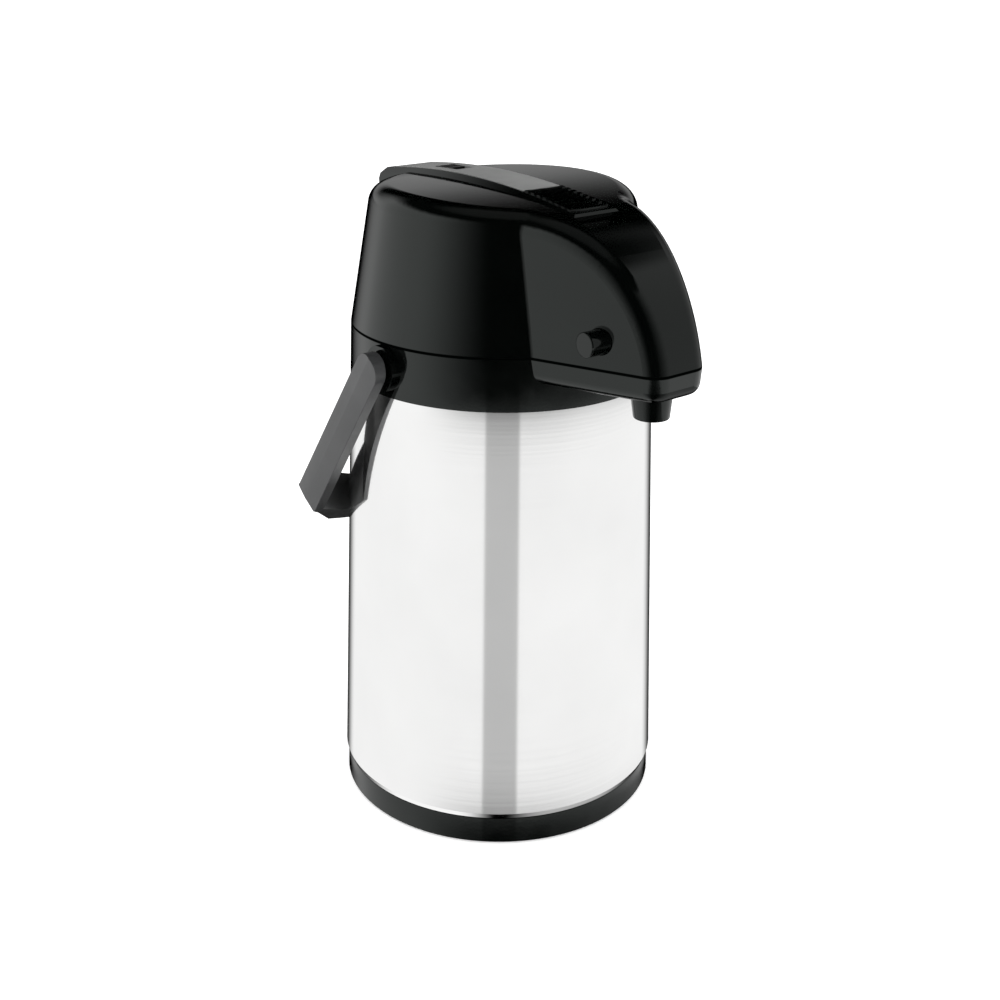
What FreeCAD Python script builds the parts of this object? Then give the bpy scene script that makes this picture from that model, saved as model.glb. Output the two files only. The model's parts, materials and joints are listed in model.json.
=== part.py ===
import FreeCAD, Part
import math
import os

import Sketcher

# Thermal airpot with a lever pump.  Millimetres and degrees.
# Origin: centre of the foot ring, on the surface the pot stands on.
# +Z is up, the spout points along -Y, and the carrying handle hangs at the back.

V = FreeCAD.Vector
doc = FreeCAD.newDocument("airpot")

DIMENSIONS = [
    # casing and base
    ("casing_radius", 80.0, "outside of the steel casing"),
    ("casing_wall", 0.6, "sheet thickness of the casing"),
    ("casing_curl", 1.1, "how far the casing's bottom edge curls in"),
    ("base_radius", "=casing_radius - 1.2", "outside of the plastic base ring"),
    ("base_height", 11.9, "top of the visible base ring"),
    ("base_wall", 2.6, "wall of the base ring and of its floor"),
    ("base_bevel", 0.5, "bevel round the base ring's lower edge"),
    ("base_lift", 0.3, "gap between the base ring and the table"),
    ("foot_inner", "=casing_radius - 14", "inside radius of the rubber foot ring"),
    ("foot_width", 6.0, "radial width of the foot ring"),
    ("cap_radius", 32.0, "bore of the base for the bottom cap"),
    ("casing_top", 208.0, "joint between casing and collar"),
    ("seam_height", "=casing_top + 25.6", "joint between collar and lid"),
    ("plastic_wall", 2.6, "wall of the moulded covers"),
    ("seam_gap", 0.3, "gap between collar and lid"),
    ("fit_gap", 0.1, "clearance between pieces that fit together"),
    ("spigot_depth", 8.0, "overlap of the plastic rings inside the casing"),
    # vacuum flask
    ("flask_radius", "=casing_radius - 9", "outside of the glass flask"),
    ("flask_bottom", 26.0, "underside of the flask"),
    ("flask_corner", 35.0, "radius of the flask's lower corner and shoulder"),
    ("flask_neck", 35.0, "outside radius of the flask's neck"),
    ("flask_mouth", "=seam_height - 21.1", "top of the flask's mouth"),
    ("glass_wall", 1.5, "thickness of each glass wall"),
    ("vacuum_gap", 4.0, "space between the two glass walls"),
    # collar
    ("deck_height", "=seam_height - 16.6", "top of the collar's inner deck"),
    ("deck_bore", 31.0, "radius of the hole in the deck"),
    ("gasket_height", 1.6, "thickness of the neck gasket"),
    # nose, shared by the collar's beak and the lid
    ("nose_reach", "=casing_radius + 52.5", "front of the nose at the joint"),
    ("nose_front_half", 16.6, "half width of the nose at its front, before rounding"),
    ("nose_flare", 20.0, "angle of each side wall from the front-back direction"),
    ("nose_draft", 3.0, "inward lean of the nose's side walls"),
    ("nose_round", 11.0, "rounding of the nose's and lid's upper edges"),
    ("beak_depth", 13.0, "height of the beak below the joint"),
    ("beak_draft", 6.0, "inward lean of the beak's walls towards its underside"),
    ("beak_round", 6.5, "rounding of the beak's lower edge"),
    # lid
    ("lid_draft", 7.6, "inward lean of the lid's round wall"),
    ("crown_rear", "=seam_height + 69.8", "height of the lid's crown line at the back"),
    ("crown_top", "=seam_height + 72.7", "height of the lid's crown line in the middle"),
    ("crown_front", "=seam_height + 68", "height where the crown turns into the hood"),
    ("crown_front_reach", "=nose_reach - 66.5", "distance of that turn in front of the axis"),
    ("hood_knee_reach", "=nose_reach - 28.5", "hood's middle point, in front of the axis"),
    ("hood_knee_height", "=seam_height + 51.9", "hood's middle point, height"),
    ("crown_thickness", 6.5, "material below the crown and behind the hood"),
    # lever
    ("lever_half", 17.0, "half width of the lever"),
    ("lever_gap", 0.7, "gap between the lever and its slot"),
    ("lever_reach", "=nose_reach - 59.5", "front end of the lever"),
    ("scoop_reach", "=lever_reach + 17", "front end of the finger scoop before the lever"),
    ("scoop_height", "=crown_top - 10.3", "floor of the finger scoop"),
    ("lever_pivot_back", "=casing_radius - 1", "lever pin, behind the axis"),
    ("lever_pivot_height", "=crown_top - 9.8", "lever pin, height"),
    ("lever_pin_radius", 2.0, "radius of the lever pin"),
    ("lever_crest", "=crown_top + 2.9", "highest point of the lever"),
    ("lever_front_height", "=crown_top - 5.1", "top of the lever at its front edge"),
    ("lever_rear_height", "=crown_top - 1.7", "top of the lever at its back edge"),
    ("lever_bevel", 3.0, "bevel along the lever's long edges"),
    ("inlay_half", "=lever_half - 4.2", "half width of the matte inlay"),
    ("inlay_depth", 1.6, "depth of the inlay's pocket"),
    ("inlay_proud", 0.4, "height of the inlay above the lever"),
    ("rib_pitch", 4.6, "spacing of the grip ribs"),
    ("rib_count", 8, "number of grip ribs"),
    ("rib_rise", 0.9, "height of the grip ribs"),
    ("rib_curve", 52.0, "radius of each rib, seen from above"),
    ("rib_end", 5.0, "foremost rib, behind the lever's front edge"),
    ("lock_width", "=lever_half * 0.8", "width of the lock slider's window"),
    ("lock_length", 20.0, "length of the lock slider's window"),
    ("lock_back", "=lever_pivot_back - 38", "centre of the window behind the axis"),
    # pump
    ("plunger_radius", 25.0, "radius of the plunger disc and the bellows"),
    ("plunger_height", "=crown_top - 23.3", "underside of the plunger disc"),
    ("plunger_top", "=crown_top - 10.1", "top of the plunger's stem"),
    ("bellows_folds", 6, "number of folds"),
    ("plug_back", 7.0, "centre of the mouth plug behind the axis"),
    ("plug_radius", 20.0, "radius of the mouth plug"),
    ("fill_radius", 18.0, "radius of the filling opening"),
    # liquid path
    ("tube_reach", 22.0, "dip tube in front of the axis"),
    ("tube_radius", 4.0, "outside radius of the tubes"),
    ("tube_bore", 2.8, "inside radius of the tubes"),
    ("tube_foot", "=flask_bottom + 12", "lower end of the dip tube"),
    ("duct_height", "=seam_height - 5.6", "centre line of the duct to the spout"),
    ("duct_bend", 6.5, "bend radius of the duct"),
    ("spout_reach", "=nose_reach - 20.5", "spout in front of the axis"),
    ("spout_top_radius", 10.4, "spout radius where it leaves the beak"),
    ("spout_tip_radius", 8.8, "spout radius at its tip"),
    ("spout_tip", "=seam_height - 25.2", "height of the spout's tip"),
    # lid release button
    ("button_radius", 6.0, "radius of the release button"),
    ("button_reach", "=nose_reach - 29", "button in front of the axis"),
    ("button_height", "=seam_height + 13.4", "height of the button"),
    ("button_face", "=nose_front_half + 19.9", "outer face of the button from the middle plane"),
    ("button_flange", "=nose_front_half + 1.4", "outer side of the button's flange"),
    # lid hinge
    ("hinge_back", "=casing_radius + 4.5", "hinge axis behind the middle"),
    ("hinge_radius", 4.5, "radius of the hinge knuckles"),
    ("hinge_half", 14.0, "half length of the lid's knuckle"),
    ("hinge_side", 10.0, "length of each collar knuckle"),
    ("hinge_pin_radius", 2.0, "radius of the hinge pin"),
    # carrying handle
    ("handle_pivot_front", 5.0, "handle pivot in front of the axis"),
    ("handle_pivot_height", "=seam_height - 11.6", "height of the handle pivot"),
    ("handle_outer", "=casing_radius + 13", "outer face of the handle's arms"),
    ("handle_arm", 7.5, "thickness of the arms"),
    ("handle_width", 18.0, "width of the arms"),
    ("handle_length", 92.4, "arm length from pivot to end"),
    ("arm_tilt", 34.0, "tilt of the arms from straight down"),
    ("grip_tilt", 57.0, "tilt of the grip from straight down"),
    ("arm_crown", 1.6, "height of the ridge along each arm's outer face"),
    ("grip_gap", 2.5, "gap between the grip and the casing"),
    ("grip_depth", 11.0, "thickness of the grip"),
    ("boss_radius", 11.5, "radius of the collar's handle bosses"),
    ("pivot_radius", 3.0, "radius of the handle pivot pins"),
]

sheet = doc.addObject("Spreadsheet::Sheet", "Dimensions")
for row, (alias, value, note) in enumerate(DIMENSIONS, 1):
    sheet.set(f"A{row}", note)
    sheet.set(f"B{row}", str(value))
    sheet.setAlias(f"B{row}", alias)
doc.recompute()


class Size:
    """A length known both as a number and as an expression of the sheet's cells."""

    def __init__(self, value, text):
        self.value = value
        self.text = text

    def join(self, other, sign, value):
        return Size(value, f"({self.text} {sign} {other.text})")

    def __add__(self, other):
        other = as_size(other)
        return self.join(other, "+", self.value + other.value)

    def __sub__(self, other):
        other = as_size(other)
        return self.join(other, "-", self.value - other.value)

    def __mul__(self, other):
        other = as_size(other)
        return self.join(other, "*", self.value * other.value)

    def __truediv__(self, other):
        other = as_size(other)
        return self.join(other, "/", self.value / other.value)

    def __neg__(self):
        return Size(-self.value, f"(0 - {self.text})")

    def __radd__(self, other):
        return as_size(other) + self

    def __rsub__(self, other):
        return as_size(other) - self

    def __rmul__(self, other):
        return as_size(other) * self


def as_size(number):
    """A plain number as a Size, written with enough digits for the expression."""
    if isinstance(number, Size):
        return number
    return Size(float(number), f"({number:.9g})")


class Named:
    """The sheet's cells by name, as Sizes."""

    def __getattr__(self, alias):
        return Size(float(sheet.get(alias)), f"Dimensions.{alias}")


D = Named()


def sine(size):
    return Size(math.sin(math.radians(size.value)), f"sin({size.text} * 1 deg)")


def cosine(size):
    return Size(math.cos(math.radians(size.value)), f"cos({size.text} * 1 deg)")


def tangent(size):
    return Size(math.tan(math.radians(size.value)), f"tan({size.text} * 1 deg)")


def bind(thing, **properties):
    """Bind properties such as Length or Radius to expressions of the sheet."""
    for name, size in properties.items():
        thing.setExpression(name, as_size(size).text)


def move_to(thing, x=0, y=0, z=0):
    """Bind the position of a body or primitive; the rotation stays as it is."""
    for axis, size in (("x", x), ("y", y), ("z", z)):
        thing.setExpression(f"Placement.Base.{axis}", as_size(size).text)


class Arc:
    """Marks the edge that follows a corner as an arc about a centre."""

    def __init__(self, x, y, clockwise=False):
        self.x = as_size(x)
        self.y = as_size(y)
        self.clockwise = clockwise


def outline(sketch, corners):
    """Draw a closed outline; every corner is held by two bound dimensions.

    A corner is (x, y), or (x, y, Arc(...)) where the edge to the next corner is an arc.
    """
    corners = [(as_size(c[0]), as_size(c[1]), c[2] if len(c) > 2 else None) for c in corners]
    ends = []
    for i, (x, y, arc) in enumerate(corners):
        following = corners[(i + 1) % len(corners)]
        start = V(x.value, y.value, 0)
        end = V(following[0].value, following[1].value, 0)
        if arc is None:
            edge = sketch.addGeometry(Part.LineSegment(start, end))
            ends.append((edge, 1, 2))
            continue
        centre = V(arc.x.value, arc.y.value, 0)
        first, last = (end, start) if arc.clockwise else (start, end)
        angles = [math.atan2(p.y - centre.y, p.x - centre.x) for p in (first, last)]
        circle = Part.Circle(centre, V(0, 0, 1), (start - centre).Length)
        edge = sketch.addGeometry(Part.ArcOfCircle(circle, *angles))
        ends.append((edge, 2, 1) if arc.clockwise else (edge, 1, 2))
    for (edge, _, tail), (following, head, _) in zip(ends, ends[1:] + ends[:1]):
        sketch.addConstraint(Sketcher.Constraint("Coincident", edge, tail, following, head))
    following = corners[1:] + corners[:1]
    for (x, y, arc), (x2, y2, _), (edge, head, _) in zip(corners, following, ends):
        hold(sketch, edge, head, x, y)
        if arc is not None:
            hold_centre(sketch, edge, arc, x2 - x, y2 - y)


def hold_centre(sketch, edge, arc, run_x, run_y):
    """Hold an arc's centre across its chord, where the dimension says most."""
    if abs(run_x.value) > abs(run_y.value):
        hold(sketch, edge, 3, None, arc.y)
    else:
        hold(sketch, edge, 3, arc.x)


def hold(sketch, edge, point, x=None, y=None):
    """Hold a point at a bound distance from the sketch's origin."""
    for kind, size in (("DistanceX", x), ("DistanceY", y)):
        if size is not None:
            index = sketch.addConstraint(Sketcher.Constraint(kind, -1, 1, edge, point, size.value))
            sketch.setExpression(f"Constraints[{index}]", size.text)


def ring(sketch, radius, x=0, y=0):
    """Draw a full circle with bound radius and centre."""
    radius, x, y = as_size(radius), as_size(x), as_size(y)
    circle = Part.Circle(V(x.value, y.value, 0), V(0, 0, 1), radius.value)
    edge = sketch.addGeometry(circle)
    index = sketch.addConstraint(Sketcher.Constraint("Radius", edge, radius.value))
    sketch.setExpression(f"Constraints[{index}]", radius.text)
    hold(sketch, edge, 3, x, y)


def new_body(label):
    body = doc.addObject("PartDesign::Body", label)
    body.Label = label
    return body


def sketch_on(body, plane, name, offset=0):
    """A sketch attached to one of the body's own origin planes."""
    sketch = body.newObject("Sketcher::SketchObject", name)
    origin_plane = next(f for f in body.Origin.OriginFeatures if f.Role == plane)
    sketch.AttachmentSupport = [(origin_plane, "")]
    sketch.MapMode = "FlatFace"
    sketch.setExpression("AttachmentOffset.Base.z", as_size(offset).text)
    return sketch


def turned(label, corners):
    """A body turned about the Z axis from corners given as (radius, height)."""
    body = new_body(label)
    sketch = sketch_on(body, "XZ_Plane", f"{label}_profile")
    outline(sketch, corners)
    turn = body.newObject("PartDesign::Revolution", f"{label}_turn")
    turn.Profile = sketch
    turn.ReferenceAxis = (sketch, ["V_Axis"])
    turn.Angle = 360
    sketch.Visibility = False
    return body


def pad(body, sketch, length, midplane=False):
    feature = body.newObject("PartDesign::Pad", f"{sketch.Name}_pad")
    feature.Profile = sketch
    feature.Midplane = midplane
    bind(feature, Length=length)
    return feature


def pocket(body, sketch, length, midplane=False, reverse=False):
    """Cut a sketch out of the body and make sure that something was removed."""
    doc.recompute()
    before = body.Shape.Volume
    feature = body.newObject("PartDesign::Pocket", f"{sketch.Name}_pocket")
    feature.Profile = sketch
    feature.Midplane = midplane
    feature.Reversed = reverse
    bind(feature, Length=length)
    doc.recompute()
    if not body.Shape.Volume < before - 1e-3:
        raise RuntimeError(f"{sketch.Name} cuts nothing")
    return feature


def box(label, x0, x1, y0, y1, z0, z1):
    """A Part::Box between bound coordinates."""
    block = doc.addObject("Part::Box", label)
    x0, x1, y0, y1, z0, z1 = (as_size(v) for v in (x0, x1, y0, y1, z0, z1))
    bind(block, Length=x1 - x0, Width=y1 - y0, Height=z1 - z0)
    move_to(block, x0, y0, z0)
    return block


def rod(label, radius, x=0, y=0, z=0, length=1, along="z"):
    """A Part::Cylinder that starts at a point and runs along +X or +Z."""
    cylinder = doc.addObject("Part::Cylinder", label)
    if along == "x":
        cylinder.Placement = FreeCAD.Placement(V(), FreeCAD.Rotation(V(0, 1, 0), 90))
    bind(cylinder, Radius=radius, Height=length)
    move_to(cylinder, x, y, z)
    return cylinder


def side_prism(label, corners, half_width):
    """A prism along X, symmetric about the middle plane, from (y, z) corners."""
    body = new_body(label)
    sketch = sketch_on(body, "YZ_Plane", f"{label}_side")
    outline(sketch, corners)
    pad(body, sketch, 2 * as_size(half_width), midplane=True)
    return body


def fuse(label, shapes):
    joined = doc.addObject("Part::MultiFuse", label)
    joined.Shapes = shapes
    joined.Refine = True
    return joined


def cut(label, base, tools):
    """Base minus tools; several tools are joined first."""
    result = doc.addObject("Part::Cut", label)
    result.Base = base
    result.Tool = tools[0] if len(tools) == 1 else fuse(f"{label}_tools", tools)
    result.Refine = True
    return result


def both(label, first, second):
    common = doc.addObject("Part::Common", label)
    common.Base = first
    common.Tool = second
    common.Refine = True
    return common


subparts = []


def finish(thing, label):
    """Register the object that is written out as one sub-part."""
    thing.Label = label
    subparts.append(thing)
    return thing


def mirrored(thing, label):
    """The mirror image of an object on the other side of the middle plane."""
    copy = doc.addObject("Part::Mirroring", label)
    copy.Source = thing
    copy.Normal = V(1, 0, 0)
    return copy


# ---------------------------------------------------------------- base and casing

def make_foot_ring():
    inner = D.foot_inner
    outer = D.foot_inner + D.foot_width
    top = D.base_lift + 1.6
    corners = [(inner, 0), (outer, 0), (outer, top), (inner, top)]
    finish(turned("foot_ring_body", corners), "foot_ring")


def make_base_cup():
    wall = D.base_wall
    lift = D.base_lift
    floor = lift + 4.2
    groove_in = D.foot_inner - D.fit_gap
    groove_out = D.foot_inner + D.foot_width + D.fit_gap
    groove_top = lift + 1.6 + D.fit_gap
    spigot = D.casing_radius - D.casing_wall - 0.3
    spigot_top = D.base_height + D.spigot_depth + 1.6
    inner = spigot - wall
    bore = D.cap_radius
    corners = [
        (bore, floor), (groove_in - 5, floor), (groove_in - 3, lift), (groove_in, lift),
        (groove_in, groove_top), (groove_out, groove_top), (groove_out, lift),
        (D.base_radius - D.base_bevel, lift), (D.base_radius, lift + D.base_bevel),
        (D.base_radius, D.base_height - 0.2), (D.base_radius - 0.9, D.base_height),
        (D.base_radius - 0.9, D.base_height + 3.4), (spigot, D.base_height + 4.6),
        (spigot, spigot_top), (inner, spigot_top), (inner, floor + wall + 1),
        (bore + wall, floor + wall + 1), (bore + wall, floor + 9), (bore, floor + 9),
    ]
    finish(turned("base_cup_body", corners), "base_cup")


def make_bottom_cap():
    plug = D.cap_radius - 0.3
    flange = D.cap_radius + 4
    low = D.base_lift + 2.4
    under = D.base_lift + 4.1
    corners = [
        (0, low), (flange, low), (flange, under), (plug, under), (plug, under + 8),
        (plug - 2.7, under + 8), (plug - 2.7, under + 1.1), (0, under + 1.1),
    ]
    body = turned("bottom_cap_body", corners)
    slot = sketch_on(body, "XY_Plane", "bottom_cap_slot", low)
    half = D.cap_radius * 0.6
    outline(slot, [(-half, -1.6), (half, -1.6), (half, 1.6), (-half, 1.6)])
    pocket(body, slot, 1.2, reverse=True)
    finish(body, "bottom_cap")


def make_flask_rest():
    low = D.base_lift + 5.3
    top = D.flask_bottom - D.fit_gap
    corners = [(5, low), (20, low), (20, top), (5, top)]
    finish(turned("flask_rest_body", corners), "flask_rest")


def make_casing():
    outer = D.casing_radius
    inner = outer - D.casing_wall
    low = D.base_height + 0.2
    curl = D.casing_curl
    corners = [
        (inner - curl, low), (outer - curl, low), (outer, low + 2.4), (outer, D.casing_top - 0.1),
        (inner, D.casing_top - 0.1), (inner, low + 2.6),
    ]
    finish(turned("casing_body", corners), "casing")


# ---------------------------------------------------------------- glass vacuum flask

def flask_wall(label, radius, bottom, corner, neck, neck_top, shoulder, wall, lip):
    """One glass wall: flat bottom, rounded corner, straight side, shoulder and neck."""
    thin = corner - wall
    rise = radius - neck
    drop = shoulder - rise
    inside = radius - wall
    corners = [
        (0, bottom), (radius - corner, bottom, Arc(radius - corner, bottom + corner)),
        (radius, bottom + corner), (radius, drop, Arc(neck, drop)),
        (neck, shoulder), (neck, neck_top - lip), (neck, neck_top), (neck - wall, neck_top),
        (neck - wall, shoulder - wall, Arc(neck - wall, drop - wall, clockwise=True)),
    ]
    low_arc = Arc(inside - thin, bottom + wall + thin, clockwise=True)
    corners += [
        (inside, drop - wall), (inside, bottom + wall + thin, low_arc),
        (inside - thin, bottom + wall), (0, bottom + wall),
    ]
    return turned(label, corners)


def make_flask():
    wall = D.glass_wall
    gap = wall + D.vacuum_gap
    shoulder = D.flask_mouth - 9
    outer = flask_wall("flask_outer_body", D.flask_radius, D.flask_bottom, D.flask_corner,
                       D.flask_neck, D.flask_mouth, shoulder, wall, 2)
    tail = doc.addObject("Part::Cone", "flask_tail")
    bind(tail, Radius1=1.2, Radius2=3, Height=6.5)
    move_to(tail, 0, 0, D.flask_bottom - 6)
    finish(fuse("flask_outer_joined", [outer, tail]), "flask_outer")
    inner = flask_wall("flask_inner_body", D.flask_radius - gap, D.flask_bottom + gap,
                       D.flask_corner, D.flask_neck - gap + wall, D.flask_mouth,
                       shoulder - gap + wall, wall, 2)
    finish(inner, "flask_inner")
    make_flask_spacers(gap)


def make_flask_spacers(gap):
    """Three pads that keep the two glass walls apart low down in the vacuum."""
    inner = D.flask_radius - gap
    outer = D.flask_radius - D.glass_wall
    pads = []
    for number, angle in enumerate((90, 210, 330)):
        block = doc.addObject("Part::Cylinder", f"spacer_{number}")
        turn = FreeCAD.Rotation(V(0, 0, 1), angle) * FreeCAD.Rotation(V(0, 1, 0), 90)
        block.Placement = FreeCAD.Placement(V(), turn)
        start = inner + 0.5
        bind(block, Radius=6, Height=outer - inner - 1)
        reach = math.radians(angle)
        move_to(block, start * round(math.cos(reach), 6), start * round(math.sin(reach), 6),
                D.flask_bottom + D.flask_corner + 20)
        pads.append(block)
    group = doc.addObject("Part::Compound", "flask_spacers_group")
    group.Links = pads
    finish(group, "flask_spacers")


def make_neck_gasket():
    low = D.flask_mouth + 0.1
    corners = [
        (D.deck_bore - 0.5, low), (D.flask_neck + 1, low),
        (D.flask_neck + 1, low + D.gasket_height), (D.deck_bore - 0.5, low + D.gasket_height),
    ]
    finish(turned("neck_gasket_body", corners), "neck_gasket")


# ---------------------------------------------------------------- the nose in plan

def nose_corners(inset, root_reach, beyond=0):
    """Plan of the nose as (x, y): straight flared walls, cut off square beyond its front."""
    slope = tangent(D.nose_flare)
    side_inset = inset / cosine(D.nose_flare)
    front = D.nose_reach - inset
    front_half = D.nose_front_half + slope * inset - side_inset
    root_half = front_half + slope * (front - root_reach)
    end, end_half = front + beyond, front_half - slope * beyond
    return [(-root_half, -root_reach), (-end_half, -end), (end_half, -end),
            (root_half, -root_reach)]


def dress_edges(body, kind, name, test, **sizes):
    """A fillet or chamfer on the edges of the body's tip for which test(edge) is true."""
    doc.recompute()
    tip = body.Tip
    names = [f"Edge{i}" for i, edge in enumerate(tip.Shape.Edges, 1) if test(edge)]
    feature = body.newObject(kind, name)
    feature.Base = (tip, names)
    bind(feature, **sizes)
    doc.recompute()
    return feature


def round_edges(body, name, radius, test):
    return dress_edges(body, "PartDesign::Fillet", name, test, Radius=radius)


def bevel_edges(body, name, size, test):
    return dress_edges(body, "PartDesign::Chamfer", name, test, Size=size)


def is_upright(edge):
    """True for an edge that runs mostly along Z."""
    if len(edge.Vertexes) < 2:
        return False
    run = edge.Vertexes[-1].Point - edge.Vertexes[0].Point
    return abs(run.z) > 0.85 * run.Length


# ---------------------------------------------------------------- collar

def beak_form(name, inset, depth, root_reach):
    """Lower part of the nose: hangs from the joint and narrows towards its underside."""
    body = new_body(name)
    plan = sketch_on(body, "XY_Plane", f"{name}_plan", D.seam_height)
    outline(plan, nose_corners(inset, root_reach))
    block = pad(body, plan, depth)
    block.Reversed = True
    bind(block, TaperAngle=-D.beak_draft)
    front = -(D.nose_reach - inset).value + 3
    round_edges(body, f"{name}_corners", D.nose_round - inset,
                lambda e: is_upright(e) and e.CenterOfMass.y < front)
    return body


def make_collar():
    outer = D.casing_radius
    wall = D.plastic_wall
    spigot = outer - D.casing_wall - 0.3
    deck_top = D.deck_height
    deck_low = D.flask_mouth + 0.3 + D.gasket_height
    corners = [
        (D.deck_bore, deck_low), (D.flask_neck + 3, deck_low), (D.flask_neck + 3, deck_low - 6),
        (D.flask_neck + 5.4, deck_low - 6), (D.flask_neck + 5.4, deck_low),
        (spigot - wall, deck_low), (spigot - wall, D.casing_top - D.spigot_depth),
        (spigot, D.casing_top - D.spigot_depth), (spigot, D.casing_top), (outer, D.casing_top),
        (outer, D.seam_height), (outer - wall, D.seam_height), (outer - wall, deck_top),
        (D.deck_bore, deck_top),
    ]
    shell = turned("collar_ring", corners)

    beak = beak_form("beak", as_size(0), D.beak_depth, D.casing_radius * 0.8)
    low = (D.seam_height - D.beak_depth).value
    root = -(D.casing_radius * 0.8).value - 1
    round_edges(beak, "beak_underside", D.beak_round,
                lambda e: e.BoundBox.ZMax < low + 0.01 and e.CenterOfMass.y < root)
    hollow = beak_form("beak_hollow", wall + 0.6, D.beak_depth - wall, D.casing_radius * 0.78)

    core = rod("beak_core", outer - wall, z=deck_top - 1, length=30)
    solid = cut("beak_outside", beak, [core])
    boss_low = outer - wall - 3
    bosses = rod("handle_boss", D.boss_radius, -(outer + 3.5), -D.handle_pivot_front,
                 D.handle_pivot_height, outer + 3.5 - boss_low, along="x")
    other = mirrored(bosses, "handle_boss_right")
    knuckles = [rod(f"collar_knuckle_{side}", D.hinge_radius, x, D.hinge_back,
                    D.seam_height + 0.9, D.hinge_side, along="x")
                for side, x in (("left", -(D.hinge_half + D.hinge_side + 0.4)),
                                ("right", D.hinge_half + 0.4))]
    webs = [box(f"knuckle_web_{side}", x, x + D.hinge_side, outer - wall - 1.6, D.hinge_back,
                D.seam_height - 7, D.seam_height - 0.4)
            for side, x in (("left", -(D.hinge_half + D.hinge_side + 0.4)),
                            ("right", D.hinge_half + 0.4))]
    solid = fuse("collar_solid", [shell, solid, bosses, other] + knuckles + webs)

    hinge_y, hinge_z = D.hinge_back, D.seam_height + 0.9
    length = 2 * (D.hinge_half + D.hinge_side + 2)
    relief = rod("hinge_relief", D.hinge_radius + 0.6, -(D.hinge_half + 0.4), hinge_y, hinge_z,
                 2 * (D.hinge_half + 0.4), along="x")
    pin_hole = rod("hinge_pin_hole", D.hinge_pin_radius + 0.02, length * -0.5, hinge_y, hinge_z,
                   length, along="x")
    pivot_hole = rod("pivot_hole", D.pivot_radius + 0.02, -(outer + 5), -D.handle_pivot_front,
                     D.handle_pivot_height, 2 * (outer + 5), along="x")
    spout_hole = rod("spout_hole", 7.1, 0, -D.spout_reach, D.seam_height - D.beak_depth - 1, 9)
    finish(cut("collar_cut", solid, [hollow, relief, pin_hole, pivot_hole, spout_hole]), "collar")


def make_hinge_pin():
    half = D.hinge_half + D.hinge_side
    pin = rod("hinge_pin_rod", D.hinge_pin_radius, -half, D.hinge_back, D.seam_height + 0.9,
              2 * half, along="x")
    finish(pin, "lid_hinge_pin")


def make_pivot_pins():
    """Two pins, fixed in the collar's bosses, that end inside the handle's arms."""
    start = D.handle_outer - 3
    length = start - (D.casing_radius - D.plastic_wall - 3)
    left = rod("pivot_pin_rod", D.pivot_radius, -start, -D.handle_pivot_front,
               D.handle_pivot_height, length, along="x")
    finish(left, "pivot_pin_left")
    finish(mirrored(left, "pivot_pin_mirror"), "pivot_pin_right")


# ---------------------------------------------------------------- liquid path

def make_tube_holder():
    """Disc on the deck, under the lid, with the filling opening and the dip tube's seat."""
    disc = rod("holder_disc", D.deck_bore + 3, z=D.deck_height + 0.2, length=3.8)
    neck = rod("holder_neck", D.deck_bore - 1, z=D.deck_height - 2, length=3)
    solid = fuse("holder_solid", [disc, neck])
    fill = rod("holder_opening", D.fill_radius, y=D.plug_back, z=D.deck_height - 5, length=20)
    seat = rod("holder_seat", D.tube_radius + 0.05, y=-D.tube_reach, z=D.deck_height - 5, length=20)
    finish(cut("holder_cut", solid, [fill, seat]), "tube_holder")


def make_dip_tube():
    top = D.deck_height + 4
    tube = turned("dip_tube_body", [
        (D.tube_bore, D.tube_foot), (D.tube_radius, D.tube_foot), (D.tube_radius, top),
        (D.tube_bore, top),
    ])
    move_to(tube, 0, -D.tube_reach, 0)
    finish(tube, "dip_tube")


def make_delivery_tube():
    """The duct: up out of the dip tube, forward through the beak, down into the spout."""
    body = new_body("delivery_tube_body")
    start = D.deck_height + 4.05
    end = D.seam_height - D.beak_depth - 6
    section = sketch_on(body, "XY_Plane", "duct_section", start)
    ring(section, D.tube_radius - 0.2, 0, -D.tube_reach)
    ring(section, D.tube_bore, 0, -D.tube_reach)
    path = sketch_on(body, "YZ_Plane", "duct_path")
    bend = D.duct_bend
    rear, front, level = -D.tube_reach, -D.spout_reach, D.duct_height
    open_path(path, [
        (rear, start), (rear, level - bend, Arc(rear - bend, level - bend)),
        (rear - bend, level), (front + bend, level, Arc(front + bend, level - bend)),
        (front, level - bend), (front, end),
    ])
    pipe = body.newObject("PartDesign::AdditivePipe", "duct_pipe")
    pipe.Profile = section
    doc.recompute()
    pipe.Spine = (path, [f"Edge{i}" for i in range(1, len(path.Shape.Edges) + 1)])
    finish(body, "delivery_tube")


def open_path(sketch, corners):
    """An open path of lines and counter-clockwise arcs, held like an outline."""
    corners = [(as_size(c[0]), as_size(c[1]), c[2] if len(c) > 2 else None) for c in corners]
    ends = []
    for (x, y, arc), (x2, y2, _) in zip(corners, corners[1:]):
        start, end = V(x.value, y.value, 0), V(x2.value, y2.value, 0)
        if arc is None:
            edge = sketch.addGeometry(Part.LineSegment(start, end))
        else:
            centre = V(arc.x.value, arc.y.value, 0)
            angles = [math.atan2(p.y - centre.y, p.x - centre.x) for p in (start, end)]
            circle = Part.Circle(centre, V(0, 0, 1), (start - centre).Length)
            edge = sketch.addGeometry(Part.ArcOfCircle(circle, *angles))
        ends.append(edge)
    for edge, following in zip(ends, ends[1:]):
        sketch.addConstraint(Sketcher.Constraint("Coincident", edge, 2, following, 1))
    for (x, y, arc), (x2, y2, _), edge in zip(corners, corners[1:], ends):
        hold(sketch, edge, 1, x, y)
        if arc is not None:
            hold_centre(sketch, edge, arc, x2 - x, y2 - y)
    hold(sketch, ends[-1], 2, corners[-1][0], corners[-1][1])


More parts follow.
